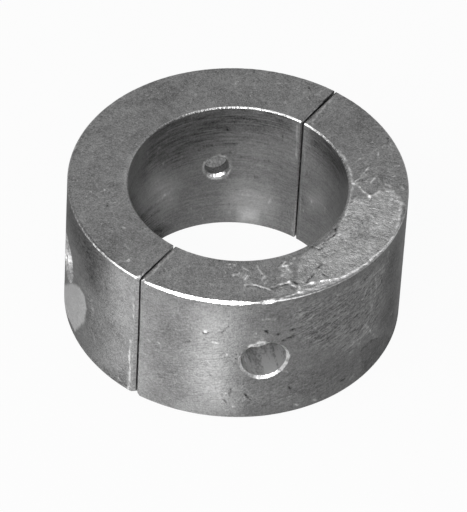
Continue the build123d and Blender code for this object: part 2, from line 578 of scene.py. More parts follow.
MARKS = {
    ("casting_half_a", "top", "lines"): {
        "bright flecks": (
            (0.1, 1.2, 0.4, 90.4, 191.6, 91.4, 192.6),
            (0.1, 1.1, 0.4, 109, 229.2, 111.4, 231),
            (0.1, 0.8, 0.4, 127.6, 260.4, 129, 259.6),
            (0.1, 0.9, 0.38, 123, 227, 124.6, 228),
            (0.1, 0.9, 0.38, 151.8, 236.2, 153.2, 237.2),
            (0.1, 0.8, 0.38, 103.8, 189, 105, 190),
            (0.1, 1.1, 0.4, 280.4, 83, 281.6, 83.6),
        ),
        "light lines by the flat": (
            (0.05, 0.4, 0.4, 115, 261.7, 126.7, 260.8, 131.7, 258.3),
            (0.05, 0.5, 0.5, 314, 96, 321, 91, 328, 87.5),
            (0.05, 0.5, 0.45, 308, 120, 316, 110, 325, 99.5, 330, 92.5),
            (0.05, 0.4, 0.4, 143, 272, 152.5, 263, 166.7, 250),
        ),
    },
    ("casting_half_a", "top", "patches"): {
        # painted highlight: a lighter band along the bore rim on the left of the top
        "painted sheen on the left": (
            (0, 0.32, 1.5, 122, 178, 125, 160, 135, 147, 150, 137, 172, 127, 178, 131, 157, 144,
             142, 156, 132, 172, 128, 192, 121, 192),
        ),
    },
    ("casting_half_a", "outer wall", "lines"): {
        "burr along the flat": (
            (0.12, 1.2, 0.4, 130.7, 340, 129.3, 356.7, 130, 373.3, 128.3, 390),
            (0.08, 0.6, 0.38, 133.8, 296, 133.4, 318),
            (0.12, 1, 0.4, 132.4, 357, 136.6, 354.3),
        ),
        "dull flecks": (
            (-0.05, -0.25, 0.9, 117.6, 296.8, 121, 299.6),
            (-0.05, -0.25, 0.7, 128, 296.4, 129.6, 298),
            (-0.05, -0.25, 0.8, 117, 334, 121, 337),
        ),
    },
    ("casting_half_a", "outer wall", "patches"): {
        # painted reflection: a bright patch with a crisp edge under the recess, with no relief
        "painted reflection under the recess": (
            (0, 1.5, 0.8, 64.5, 284, 72, 281.5, 78.8, 285.2, 84.8, 294.8, 87.1, 309, 84.8, 323.3,
             75.2, 332.9, 70, 322, 63.5, 300),
        ),
        "torn metal beside it": (
            (0.5, 0.1, 1.5, 78.8, 279, 84, 282, 93, 300, 95, 313, 92, 326, 86, 328, 88, 309, 85,
             294),
        ),
        # painted shade: a dark reflection over the wall's left end, with a little torn relief
        "painted dark reflection at the left end": (
            (0.2, -0.48, 8, 52, 150, 66, 170, 90, 225, 122, 256, 112, 290, 96, 302, 84, 284, 77,
             256, 69, 236, 56, 232),
        ),
        # painted shadow: the floor's dark contact shadow as if reflected at the foot of the wall, with
        # some torn relief
        "painted shadow at the foot": (
            (0.3, -0.35, 1.2, 102, 364, 112, 371, 122, 368, 127, 361, 128, 375, 129.5, 392, 118,
             390, 106, 380),
        ),
    },
    ("casting_half_a", "bore wall", "lines"): {
        "turning marks": (
            (-0.06, -0.4, 0.45, 199, 149, 207, 145.6, 215, 144.4, 227, 143.6, 237, 145),
            (-0.06, -0.4, 0.45, 221, 155, 231, 152.4),
            (0.04, 0.25, 0.45, 237, 147.6, 253, 146.6, 269, 149.6, 285, 156.6, 295, 163.6),
            (0.04, 0.25, 0.45, 243, 163.6, 261, 165.6, 273, 171.6, 281, 179.6),
            (-0.04, -0.2, 0.5, 241, 157, 259, 158, 276, 164, 288, 173),
            (0.04, 0.3, 0.5, 229, 196, 245, 194, 261, 196, 275, 199),
            (-0.04, -0.2, 0.5, 233, 190, 249, 188.6, 265, 191),
        ),
        "slanting scratches": (
            (0.04, 0.35, 0.5, 155, 204, 167, 194),
            (0.04, 0.35, 0.5, 159, 200, 173, 190),
            (-0.05, -0.4, 0.5, 147, 212, 161, 200),
            (-0.05, -0.4, 0.5, 152, 216, 166, 205),
            (0.04, 0.3, 0.45, 163, 207, 175, 197),
        ),
        "light lines by the flat": (
            (0.08, 0.8, 0.4, 297.4, 126, 296.8, 142, 296.2, 158),
            (0.08, 0.8, 0.4, 292.4, 222, 291.6, 234),
        ),
        # a low raised burr with painted highlights: the bright ring and crescent of the lit chamfer
        "burr with painted highlight round the screw hole": (
            (0.05, 1.7, 0.9, 203.8, 168, 205, 163.5, 209, 160.5, 214, 158.5, 219, 155.6, 224, 157.5,
             229, 161, 231, 166, 229.5, 171, 226, 175, 220, 177.5, 213, 177.6, 207.5, 174.5, 204.5,
             171, 203.8, 168),
            (0.1, 1.8, 0.8, 208, 175.5, 213, 177, 219, 177.3, 225, 175.8),
        ),
    },
    ("casting_half_a", "bore wall", "patches"): {
        # painted light: glowing stretches on the far bore wall
        "bright stretches": (
            (0, 0.5, 9, 218, 180, 245, 172, 272, 180, 285, 204, 275, 228, 240, 228, 215, 216),
            (0, 0.7, 4, 234, 206, 250, 203, 262, 208, 262, 228, 236, 228),
            (0, 0.5, 8, 145, 165, 168, 156, 186, 180, 180, 212, 160, 220, 145, 200),
        ),
        # painted shade: the bore wall darker near the top and at the lower left, with a little torn
        # relief
        "dark stretches": (
            (0.2, -0.42, 10, 136, 190, 146, 120, 185, 85, 215, 75, 250, 72, 290, 80, 308, 90, 300,
             150, 262, 150, 222, 152, 190, 168, 160, 190),
            (0.3, -0.5, 5, 116, 190, 130, 184, 150, 208, 175, 226, 162, 250, 133, 240),
        ),
    },
    ("casting_half_b", "top", "lines"): {
        "rays of the star": (
            (0.12, 1.3, 0.32, 353.3, 184, 357, 185, 362, 190, 370.7, 197),
            (0.1, 1, 0.32, 353.3, 184, 359.3, 182.6),
            (0.1, 0.9, 0.32, 353.3, 184, 356.4, 180.7, 360.7, 177.4, 365, 172, 368.6, 167),
            (0.08, 0.8, 0.35, 353.3, 184, 351.6, 192, 350, 201, 345.5, 214, 339, 225),
        ),
        "flecks round the star": (
            (0.1, 1, 0.35, 371, 182, 376.4, 175.7),
            (0.08, 0.8, 0.35, 362, 178.5, 365.5, 174.5),
            (0.08, 0.7, 0.35, 366, 181.5, 371.5, 182.3),
            (0.1, 1, 0.35, 392, 176.8, 395, 176),
            (0.1, 0.9, 0.35, 385, 183, 390.7, 187),
            (0.1, 0.9, 0.35, 401, 186, 404, 189),
            (0.08, 0.8, 0.35, 378.2, 152.5, 379, 157),
            (0.08, 0.7, 0.35, 358.5, 158.6, 360.3, 158.4),
            (0.08, 0.7, 0.35, 395, 166, 399.5, 165.5),
        ),
        "arc behind the star": (
            (0.04, 0.35, 0.35, 366, 163, 370.7, 154.3, 376.4, 148.6, 383.6, 145.7, 390.7, 147.9),
        ),
        "ridge round the torn metal": (
            (0.18, 1.1, 0.8, 353.6, 200.5, 357.9, 197.5, 365, 197, 373.6, 195.7, 379.3, 191.4, 385,
             189, 392, 191, 398.5, 197, 402.8, 204.5),
            (0.15, 0.7, 0.6, 400.5, 208, 399.5, 219, 397, 229),
        ),
        "cracks in the torn metal": (
            (-0.25, -0.8, 0.3, 335, 228.6, 335.7, 232.9, 327, 240, 320, 246, 319.6, 249.3),
            (-0.2, -0.7, 0.3, 312, 246.4, 316, 248.2, 319.6, 249.3),
            (-0.2, -0.7, 0.3, 320, 249.6, 325, 245.5, 330, 241.4),
            (0.1, 0.7, 0.35, 326, 245.5, 334, 237.5),
            (-0.25, -0.85, 0.3, 322, 261.4, 317, 270, 312, 275.7, 305.7, 282),
            (-0.2, -0.7, 0.3, 322.9, 273.6, 328.6, 277.9),
            (-0.2, -0.8, 0.4, 348, 215.6, 351.4, 214.4),
        ),
        "ridges by the rim": (
            (0.15, 1.5, 0.45, 338, 235.5, 342.4, 233.6),
            (0.22, 1.5, 0.6, 309, 283.4, 315, 282.4, 322, 280.9, 329, 279.8),
            (0.18, 1.1, 0.5, 329, 279.8, 336, 278.6, 345, 276.5),
            (0.12, 1.1, 0.4, 303, 292.6, 309, 291.4, 320.7, 288, 333.6, 283, 345, 276.8, 356.4,
             270.2, 365, 264.6, 385, 247.6, 395, 235),
            (0.1, 1, 0.35, 269.3, 299.6, 280, 298.4, 293.3, 294.8, 304, 291),
        ),
        "flecks at the gate": (
            (0.1, 1, 0.35, 225.5, 265, 226.5, 264.3),
            (0.1, 1, 0.35, 229, 264.2, 230, 263.8),
            (0.1, 1, 0.35, 234, 264.6, 235.6, 265.3),
            (0.1, 0.8, 0.35, 242, 266.7, 247.3, 269.7),
        ),
        "strokes at the gate": (
            (0.12, 0.9, 0.35, 232.7, 276, 235.3, 273.6),
            (0.12, 0.9, 0.35, 237.6, 274.4, 240, 272.6),
            (0.12, 0.9, 0.35, 240, 276.4, 243.3, 272.7),
            (0.12, 0.9, 0.35, 242.7, 277.5, 246, 273.6),
            (0.12, 0.9, 0.35, 244.7, 280, 248, 275.3),
        ),
        "stray strokes": (
            (0.08, 0.7, 0.35, 256.7, 266, 260, 270.5, 262.7, 274),
            (0.12, 0.9, 0.35, 262.2, 279.4, 265.5, 276.3),
            (0.1, 0.6, 0.35, 263.5, 276.5, 262.7, 281),
            (0.08, 0.6, 0.35, 246, 283.3, 244.7, 290),
        ),
        "crease along the rim": (
            (-0.12, -0.5, 0.4, 247.3, 286.4, 251.5, 284.8, 259, 287.2, 265.7, 289.8),
            (0.08, 0.7, 0.35, 245.3, 285.3, 250.7, 283.3, 260, 286, 266.7, 288.7, 269, 289.6),
            (0.2, 1.8, 0.4, 268.6, 289.2, 269.4, 290),
            (0.12, 0.9, 0.35, 265.3, 282.9, 267.5, 281),
            (0.07, 0.7, 0.35, 271.3, 286.7, 280, 284, 286.7, 282, 292, 281),
            (-0.15, -0.5, 0.45, 272.3, 288.5, 281, 285.7, 287.7, 284),
            (0.08, 0.6, 0.38, 276.7, 278, 285.3, 273.3),
        ),
        "crumpled creases": (
            (0.15, 1.1, 0.4, 280, 267.3, 285.3, 261.3),
            (-0.15, -0.6, 0.4, 282, 262.6, 279, 266),
            (0.18, 1.4, 0.45, 282.7, 266.9, 286.7, 265.7, 292, 263),
            (0.15, 1.1, 0.4, 292, 260, 295.3, 257.6),
            (0.1, 0.9, 0.38, 286.7, 267.3, 290.7, 272),
            (0.22, 1.7, 0.55, 289.5, 281, 292.5, 284.5, 295.5, 286.2),
            (-0.2, -0.7, 0.5, 293.5, 281.5, 296.5, 283.6),
            (0.15, 1, 0.45, 297, 281, 302.7, 281.5),
            (0.12, 0.9, 0.4, 299.5, 285.5, 299, 289.5, 297.5, 292.4),
            (0.12, 0.9, 0.4, 297, 291, 301.3, 293),
        ),
        # painted highlight: a lit band along the bore rim's chamfer
        "painted highlight on the bore's edge": (
            (0.03, 0.9, 0.55, 339, 150.5, 344, 157, 348.5, 166, 351.5, 176, 352.8, 183),
        ),
        "light lines by the flat": (
            (0.05, 0.6, 0.35, 312.5, 121, 325, 105.5, 333, 97),
            (0.05, 0.6, 0.35, 145, 280, 150.8, 274.4, 173.3, 252),
            (0.05, 0.5, 0.5, 305.5, 124, 309, 121.5, 313, 124),
        ),
    },
    ("casting_half_b", "top", "patches"): {
        "torn metal": (
            (1, 0.5, 0.8, 353.6, 200, 357.9, 197.2, 365, 196.8, 373.6, 195.5, 379.3, 191.2, 385,
             188.6, 392, 190.7, 399.3, 197, 404, 205, 404.6, 213, 402, 226, 395, 240, 386, 250, 372,
             262, 352, 274, 330, 284, 310, 290.5, 297, 293.5, 296.3, 280, 295.8, 274, 296.5, 263.3,
             299.2, 254, 312, 246, 320, 241.5, 330, 233.5, 338, 224, 344, 212, 348, 203),
        ),
        "its darker middle": (
            (0, -0.36, 4, 348, 224, 360, 208, 376, 214, 372, 238, 354, 254, 338, 258, 342, 238),
        ),
        "scuffs round it": (
            (0.6, 0.1, 1.5, 278, 262, 299, 253, 296, 280, 297, 293, 275, 297, 268, 288, 276, 276),
            (0.35, 0.1, 2, 240, 262, 262, 262, 268, 276, 266, 290, 248, 290, 238, 276),
            (0.45, 0, 2, 356, 181, 364, 166, 378, 160, 398, 163, 404, 180, 403, 195, 391, 189, 378,
             190, 366, 196, 357, 190),
        ),
    },
    ("casting_half_b", "outer wall", "lines"): {
        # a small raised pip and dip, with a painted white glint and a painted dark shadow below it
        "pit with painted glint and shadow": (
            (0.2, 4, 0.5, 205, 330.9, 206.4, 331.3),
            (-0.2, -1.6, 0.45, 203.6, 333.2, 205.8, 334.3, 208.2, 332.8),
        ),
        "short scratches": (
            (-0.12, -0.8, 0.4, 207.5, 371.5, 211.5, 376),
            (-0.12, -0.8, 0.4, 229, 396.5, 231, 389),
            (-0.12, -0.7, 0.4, 245, 394, 249.5, 400),
            (-0.12, -0.7, 0.4, 221.5, 396, 225, 402),
            (-0.1, -0.6, 0.4, 222, 333, 229, 326),
        ),
        "light dash": (
            (0.06, 0.7, 0.45, 262, 319.7, 275, 319.3),
        ),
        "dark dashes": (
            (-0.2, -0.85, 0.6, 266.4, 331.2, 268, 333.4),
            (-0.2, -0.85, 0.6, 275, 335, 279.4, 333.9),
            (-0.2, -0.85, 0.6, 282.8, 341, 285.6, 339.4, 291.7, 337.2, 293.9, 335.6),
            (-0.2, -0.85, 0.6, 291.5, 330.4, 293.8, 329.4),
            (-0.15, -0.5, 0.45, 262.4, 326.6, 263.6, 328),
            (-0.2, -0.85, 0.6, 289, 387.5, 290, 389.6),
            (-0.12, -0.5, 0.45, 268, 389, 269, 390),
            (-0.15, -0.6, 0.45, 229.6, 393, 229.2, 396),
            (-0.12, -0.5, 0.45, 243.8, 395.4, 246.6, 397),
            (-0.1, -0.5, 0.4, 232.7, 353.2, 236.1, 354.6),
        ),
        "light dashes": (
            (0.06, 0.8, 0.4, 281, 369, 284, 371.2, 287, 371.6),
            (0.1, 1.1, 0.45, 296, 404, 297.6, 405.4),
            (0.08, 0.8, 0.45, 300, 399.5, 302, 400.5),
            (0.08, 0.9, 0.45, 313.6, 400, 315.2, 400.5),
        ),
        "scuffs at the right": (
            (0.1, 0.6, 0.55, 363.3, 286.7, 370, 277.5, 378.3, 271.7, 383.3, 266.7),
            (0.08, 0.5, 0.5, 370.8, 288.3, 370.8, 303, 371.7, 313),
            (0.1, 0.6, 0.5, 375, 276.7, 376.7, 286.7, 373.3, 301.7, 368.3, 318, 363, 333, 358, 345),
            (0.1, 0.7, 0.5, 364, 324, 369, 330, 373.3, 335, 377.5, 336.7),
            (0.1, 0.7, 0.5, 351.7, 343, 360, 338, 366.7, 331.7),
            (0.08, 0.6, 0.5, 353, 340, 359, 333, 364, 327),
            (0.08, 0.6, 0.5, 349, 347, 355, 343),
            (0.06, 0.5, 0.5, 353, 285, 360, 281),
            (0.08, 0.6, 0.5, 362, 300, 366, 291, 372, 283),
        ),
        "dark creases at the right": (
            (-0.1, -0.4, 0.5, 366, 296, 369, 286),
            (-0.1, -0.4, 0.5, 379, 272, 382, 281),
            (-0.12, -0.4, 0.6, 377.5, 338, 370, 341.2, 363.3, 347.9, 360.6, 354),
        ),
        # a low burr round the recess mouth with painted highlights: a white lens on its upper lip and
        # bright crescents
        "burr with painted highlight round the recess": (
            (0.05, 5, 0.9, 250.5, 346.6, 257, 344.4, 264, 342.6),
            (0.1, 1.3, 0.4, 288.2, 350, 288.8, 356, 286, 363.5, 281, 369.2),
            (0.1, 1.6, 0.5, 251, 376.2, 259, 378.6, 268, 377.2, 277, 372),
            (0.05, 0.8, 0.3, 238.6, 356, 240, 364, 245, 371, 251, 376.2),
        ),
    },
    ("casting_half_b", "outer wall", "patches"): {
        "scuffs left of the recess": (
            (0.34, 0.02, 6, 178, 312, 240, 322, 246, 345, 240, 372, 262, 385, 262, 415, 215, 414,
             180, 404, 168, 370),
        ),
        # painted shade: the wall's right end darker, with a little torn relief
        "painted shade at the right end": (
            (0, -0.22, 1.2, 377.5, 336.7, 370, 340, 363.3, 346.7, 360, 353, 359.7, 366.7, 362, 386,
             378, 372, 390, 355, 398, 335, 385, 333),
            (0.1, -0.32, 9, 376, 290, 386, 256, 395, 236, 402, 222, 402, 330, 392, 352, 380, 350,
             376, 330),
        ),
        "torn and scuffed metal": (
            (0.85, 0.1, 5, 285, 300, 300, 297, 330, 287, 360, 271, 385, 250, 392, 258, 386, 300,
             377, 336, 362, 345, 350, 362, 322, 356, 296, 352, 290, 335, 280, 322),
            (0.35, 0, 5, 292, 352, 350, 362, 360, 372, 330, 398, 290, 412, 250, 414, 225, 408, 230,
             385, 265, 382, 285, 372),
            (0.25, 0.12, 3, 203, 378, 226, 378, 230, 395, 226, 412, 206, 408),
        ),
        # painted highlight: an upright bright band down the wall, with a little torn relief
        "painted highlight band": (
            (0.12, 0.4, 7, 186, 300, 215, 304, 258, 306, 252, 340, 243, 372, 248, 400, 244, 420,
             182, 408, 178, 380, 184, 350, 183, 325),
        ),
        "dull metal by the flat": (
            (0.3, -0.08, 3, 150, 320, 178, 318, 190, 345, 182, 380, 160, 392, 146, 370),
        ),
    },
    ("casting_half_b", "bore wall", "lines"): {
        "light lines by the flat": (
            (0.06, 0.5, 0.4, 304.6, 150, 304, 173),
            (0.06, 0.4, 0.4, 301, 190, 300, 215),
        ),
        "dark nicks by the flat": (
            (-0.06, -0.4, 0.45, 305, 176.5, 307.5, 172),
            (-0.06, -0.5, 0.45, 302.4, 199, 303.6, 203),
        ),
    },
    ("casting_half_b", "bore wall", "patches"): {
        # painted shade: the bore wall darker near the top, with a little torn relief
        "painted shade stretch": (
            (0.1, -0.5, 8, 300, 90, 325, 95, 350, 130, 362, 170, 354, 194, 338, 192, 320, 168, 302,
             160),
        ),
        # painted light: a glowing stretch low on the bore wall
        "painted light stretch": (
            (0, 0.45, 6, 302, 186, 320, 184, 330, 198, 325, 215, 305, 218),
        ),
    },
}

# Degrees round each half, and how wide its outer top rim is broken there
RIM_BREAKS = {
    "casting_half_a": ((0, 0.35), (120, 0.25), (160, 0.32), (180, 0.35)),
    "casting_half_b": (
        (0, 0.35), (3, 0.4), (10, 0.6), (18, 0.7), (26, 0.68), (32, 0.82), (36, 0.78), (40, 0.35),
        (42, 0.4), (43.5, 0.7), (46, 0.65), (48, 0.3), (60, 0.22), (110, 0.25), (180, 0.4)),
}
# in mm: how far from the rim its break still moves points, and how high torn metal crumbles
RIM_REACH, CRUMBLE, CRUMBS_PER_MM = 2.6, 0.10, 1.1
# how far, in mm, and how finely marks wander off the lines that they are given by
WANDER, WANDER_PER_MM = 0.35, 0.9
# how finely marks come and go along their way, how strongly, and their least and most share
FAINT_PER_MM, FAINTNESS, FAINTEST, FULLEST = 0.8, 1.6, 0.25, 1.4
# half B's top is seen most: how many times as bright its lines are, and their least half width
BOLDER = {("casting_half_b", "top", "lines"): (1.25, 0.42)}
# marks are placed to a tenth of a millimetre, on a wall whose radius is given here in mm: the
# frame's box stops 0.01 short of it, because the frame's round walls are made of facets
PLACE_DECIMALS = 1
SIGHTED_WALL = 47.0
# in mm: how deep a surface reaches for its marks, and the outer wall, which its ripple moves more
SKIN_DEPTH, WALL_DEPTH = 0.3, 0.8
NICKS = 50


def nearness(places, line, width):
    """How near places are to a line of straight runs: 1 on it, and 0 from a width away."""
    line = np.array(line)
    nearest = np.full(len(places), np.inf)
    for start, end in zip(line[:-1], line[1:]):
        run = end - start
        along = np.clip((places - start) @ run / (run @ run), 0, 1)
        away = np.linalg.norm(places - start - np.outer(along, run), axis=1)
        nearest = np.minimum(nearest, away)
    return np.clip(1 - nearest / width, 0, 1)


def insideness(places, outline, fade):
    """How far inside an outline places are: 0 on it and outside, and 1 from the fade's length in."""
    outline = np.array(outline)
    inside = np.zeros(len(places), dtype=bool)
    for (x1, y1), (x2, y2) in zip(outline, np.roll(outline, -1, axis=0)):
        crosses = (y1 > places[:, 1]) != (y2 > places[:, 1])
        crossing = x1 + (places[:, 1] - y1) * (x2 - x1) / ((y2 - y1) or 1.0)
        inside ^= crosses & (places[:, 0] < crossing)
    return np.where(inside, 1 - nearness(places, np.vstack((outline, outline[:1])), fade), 0)


def ease_rim(points, sizes, breaks, random):
    """Make the outer top rim's chamfer as wide as the breaks say, and a little ragged."""
    out = np.hypot(points[:, 0], points[:, 1])
    angle = np.degrees(np.arctan2(points[:, 1], points[:, 0]))
    wanted = np.interp(angle, *np.array(breaks).T)
    wanted *= np.interp(angle, np.arange(181), random.uniform(0.88, 1.12, 181))
    outer, top, rim = (size / MM for size in (sizes.outer_radius, sizes.height, sizes.rim_break))
    inward, down = outer - out, top - points[:, 2]
    reach = np.clip((RIM_REACH - np.maximum(inward, down)) / (RIM_REACH - rim), 0, 1)
    scale = 1 + (wanted / rim - 1) * reach
    points[:, :2] *= ((outer - inward * scale) / out)[:, None]
    points[:, 2] = top - down * scale


def wandered(places, seed):
    """Places moved about smoothly, so that straight runs come out as unsteady as real marks."""
    moves = [
        noise.noise_vector(Vector((x, y, 0)) * WANDER_PER_MM + Vector((0, 0, seed)))
        for x, y in places]
    return places + WANDER * np.array(moves)[:, :2]


def split_shadows(cut):
    """Lines of painted shadow that darken the filed edges of a flat on the top, along the split."""
    return [(0.0, -0.9, 0.6, ((side * 30, cut), (side * 47.5, cut))) for side in (-1, 1)]


def small_nicks(places, random):
    """Short straight lines strewn over a surface, bright and raised or dark and sunk."""
    lowest, highest = places.min(axis=0), places.max(axis=0)
    nicks = []
    for _ in range(NICKS):
        start = random.uniform(lowest, highest)
        way, length = random.uniform(0, tau), random.uniform(0.3, 2.2)
        end = start + length * np.array((cos(way), sin(way)))
        glint = random.choice((-0.5, 0.5, 0.8))
        nicks.append((0.1 * glint, glint, random.uniform(0.25, 0.4), (start, end)))
    return nicks


def sighted(points, surface, sizes, centre, turn):
    """Where sight lines through points of the camera's view meet a surface of a half.

    Places are in mm in the half's own place: along X and Y on its top, and round and up on its walls.
    """
    place, right, top, back = camera_stand()
    across, down = np.reshape(points, (-1, 2)).T
    ways = np.outer(across - VIEW_WIDTH / 2, right) + np.outer(VIEW_HEIGHT / 2 - down, top)
    turned = np.array((cos(turn), cos(turn), 1))
    start = (place - (0, centre, 0)) / MM * turned
    ways = (ways / PIXELS_PER_RADIAN - back) * turned
    if surface == "top":
        reach = (sizes.height / MM - start[2]) / ways[:, 2]
        return np.round((start + reach[:, None] * ways)[:, :2], PLACE_DECIMALS)
    # the outer wall is met on its near side, and the bore's wall on its far side
    radius, side = (SIGHTED_WALL, -1) if surface == "outer wall" else (sizes.bore_radius / MM, 1)
    level = ways[:, :2]
    spread = (level**2).sum(axis=1)
    slope = level @ start[:2]
    room = slope**2 - spread * (start[:2] @ start[:2] - radius**2)
    reach = (side * np.sqrt(np.maximum(room, 0)) - slope) / spread
    x, y, z = (start + reach[:, None] * ways).T
    angle = (np.arctan2(y, x) + pi / 2) % tau - pi / 2
    return np.round(np.column_stack((angle * SIGHTED_WALL, z)), PLACE_DECIMALS)


def sighted_marks(name, surface, kind, sizes, centre, turn):
    """The marks of one kind on a surface of a half, with their points carried on to it."""
    gain, least = BOLDER.get((name, surface, kind), (1, 0))
    marks = []
    for group in MARKS[name, surface, kind].values():
        for first, glint, width, *points in group:
            places = sighted(points, surface, sizes, centre, turn)
            marks.append((first, round(glint * gain, 2), max(width, least), places))
    return marks


def mark_half(mesh, name, sizes, cut, centre, turn, seed):
    """Break the rim, raise and cut the marks, and store how bright the surface is, painted highlights
    and shade included, and how torn it is.
    """
    random = np.random.default_rng(seed)
    # noise vectors differ from run to run unless they are seeded too
    noise.seed_set(seed)
    points = np.empty(len(mesh.vertices) * 3)
    mesh.vertices.foreach_get("co", points)
    points = points.reshape(-1, 3) / MM
    ease_rim(points, sizes, RIM_BREAKS[name], random)
    x, y, z = points.T
    out = np.hypot(x, y)
    outer, bore, top = (size / MM for size in (sizes.outer_radius, sizes.bore_radius, sizes.height))
    round_it = np.arctan2(y, x) * outer
    outward = np.column_stack((x / out, y / out, np.zeros(len(x))))
    upward = np.tile((0.0, 0.0, 1.0), (len(x), 1))
    from_rims = np.minimum(out - bore, outer - out) - SKIN_DEPTH
    from_ends = np.minimum(z, top - z) - SKIN_DEPTH
    # each surface's points, their places on it, how far they are from its edges and the way it faces
    surfaces = {
        "top": (z > top - SKIN_DEPTH, (x, y), from_rims, upward),
        "outer wall": (out > outer - WALL_DEPTH, (round_it, z), from_ends, outward),
        "bore wall": (out < bore + SKIN_DEPTH, (round_it, z), from_ends, -outward),
    }
    shine, torn = np.zeros(len(x)), np.zeros(len(x))
    moved = np.zeros_like(points)
    for surface, (chosen, places, from_edge, facing) in surfaces.items():
        chosen = np.flatnonzero(chosen)
        straight = np.column_stack(places)[chosen]
        places = wandered(straight, seed)
        faint = np.array([noise.noise(Vector((*place, seed)) * FAINT_PER_MM) for place in straight])
        uneven = random.uniform(0.6, 1.4, len(chosen))
        uneven *= np.clip(1 + FAINTNESS * faint, FAINTEST, FULLEST)
        lift = np.zeros(len(chosen))
        lines = sighted_marks(name, surface, "lines", sizes, centre, turn)
        lines += small_nicks(places, random)
        if surface == "top":
            lines += split_shadows(cut / MM)
        for height, glint, width, line in lines:
            near = nearness(places, line, width) * uneven
            lift += height * near
            shine[chosen] += glint * near
        for rough, glint, fade, outline in sighted_marks(
                name, surface, "patches", sizes, centre, turn):
            share = insideness(places, outline, fade)
            shine[chosen] += glint * share
            torn[chosen] = np.maximum(torn[chosen], rough * share)
        rough = np.flatnonzero(torn[chosen] > 0)
        crumble = [noise.noise(Vector((*places[i], seed)) * CRUMBS_PER_MM) for i in rough]
        lift[rough] += CRUMBLE * torn[chosen][rough] * crumble
        lift *= np.clip(from_edge[chosen] / SKIN_DEPTH, 0, 1)
        moved[chosen] += facing[chosen] * lift[:, None]
    mesh.vertices.foreach_set("co", ((points + moved) * MM).ravel())
    for stored_as, values in (("shine", shine), ("torn", torn)):
        stored = mesh.attributes.new(stored_as, "FLOAT", "POINT")
        stored.data.foreach_set("value", values.astype(np.float32))
    mesh.update()


# ---- Where each finish goes ----

SKIN, FACED, BORED, FILED, DRILLED = range(5)
FIRST_HOLE, HOLE_SPACING = pi / 4, pi / 2
HOLE_ANGLES = (FIRST_HOLE, FIRST_HOLE + HOLE_SPACING)
# how much of its normal is up or down on a face that is upright, level or filed at the flat
UPRIGHT_BELOW, LEVEL_ABOVE, FILED_BELOW = 0.4, 0.92, -0.45


def note_place(mesh, sizes):
    """Store where each point of a half is: round its wall, out from its centre, and up."""
    points = np.empty(len(mesh.vertices) * 3)
    mesh.vertices.foreach_get("co", points)
    points = points.reshape(-1, 3)
    out = np.hypot(points[:, 0], points[:, 1])
    round_it = np.arctan2(points[:, 1], points[:, 0]) * sizes.outer_radius
    around = np.column_stack((round_it, out, points[:, 2]))
    stored = mesh.attributes.new("around", "FLOAT_VECTOR", "POINT")
    stored.data.foreach_set("vector", around.astype(np.float32).ravel())
    corners = np.empty(len(mesh.loops), dtype=np.int32)
    mesh.loops.foreach_get("vertex_index", corners)
    flat = np.column_stack((around[:, 0], around[:, 2] + out))[corners]
    mesh.uv_layers.new(name="unrolled").uv.foreach_set("vector", flat.astype(np.float32).ravel())


def finish_by_place(mesh, sizes, cut):
    """Give each face of a half its finish, from where it is and which way it faces."""
    centres = np.empty(len(mesh.polygons) * 3)
    normals = np.empty(len(mesh.polygons) * 3)
    mesh.polygons.foreach_get("center", centres)
    mesh.polygons.foreach_get("normal", normals)
    centres, normals = centres.reshape(-1, 3), normals.reshape(-1, 3)
    out = np.hypot(centres[:, 0], centres[:, 1])
    height = centres[:, 2]
    from_ends = np.minimum(height, sizes.height - height)
    slack, little, hair = 0.3 * MM, 0.05 * MM, 0.02 * MM
    steepness = np.abs(normals[:, 2])
    upright = steepness < UPRIGHT_BELOW
    finish = np.full(len(out), FACED)
    finish[upright & (out > sizes.outer_radius - slack)] = SKIN
    finish[upright & (out < sizes.bore_radius + slack)] = BORED
    sloping = (steepness > UPRIGHT_BELOW) & (steepness < LEVEL_ABOVE)
    finish[sloping & (from_ends < sizes.rim_break + slack)] = FILED
    by_flat = centres[:, 1] < cut + sizes.filed_corner + slack
    finish[by_flat & (normals[:, 1] < FILED_BELOW)] = FILED
    hole_mouth = sizes.screw_radius + sizes.screw_hole_break
    recess_mouth = sizes.recess_radius + sizes.recess_break
    in_bore = out < sizes.bore_radius + 0.15 * MM
    near_bore = out < sizes.bore_radius + 2 * slack
    near_wall = out > sizes.outer_radius - 2 * slack
    past_floor = out < sizes.outer_radius - sizes.recess_depth - 2 * slack
    for angle in HOLE_ANGLES:
        along = centres[:, 0] * cos(angle) + centres[:, 1] * sin(angle)
        across = -centres[:, 0] * sin(angle) + centres[:, 1] * cos(angle)
        off_axis = np.hypot(across, height - sizes.height / 2)
        on_bore = in_bore & (off_axis > hole_mouth - hair)
        inside = (along > 0) & (off_axis < recess_mouth - hair) & ~on_bore
        finish[inside] = DRILLED
        finish[inside & past_floor & (off_axis < sizes.screw_radius + slack)] = FACED
        finish[inside & near_wall & (off_axis > sizes.recess_radius + little)] = FILED
        at_mouth = (off_axis > sizes.screw_radius + little) & (off_axis < hole_mouth)
        finish[inside & near_bore & at_mouth] = FILED
    mesh.polygons.foreach_set("material_index", finish.astype(np.int32))


# ---- Stage ----

# how white the floor and the world look to the camera and in the metal, and the world's own light
WHITE_TO_CAMERA = 0.95
WHITE_IN_METAL = 0.10
WORLD_LIGHT = 0.26
FLOOR_REACH = 3.0
# each softbox: degrees to the side of the camera's direction, degrees up, metres away, width,
# height and radiance
SOFTBOXES = (
    (-80, 40, 1.2, 0.50, 0.50, 3.2),
    (-48, 45, 1.2, 0.40, 0.45, 4.5),
    (-13, 47, 1.2, 0.52, 0.35, 15.0),
    (35, 46, 1.2, 0.30, 0.35, 3.0),
    (-60, 16, 1.2, 0.50, 0.35, 6.5),
    (90, 85, 1.2, 0.80, 0.80, 1.8),
)
LAMP_AIM = (0, 0, 0.03)


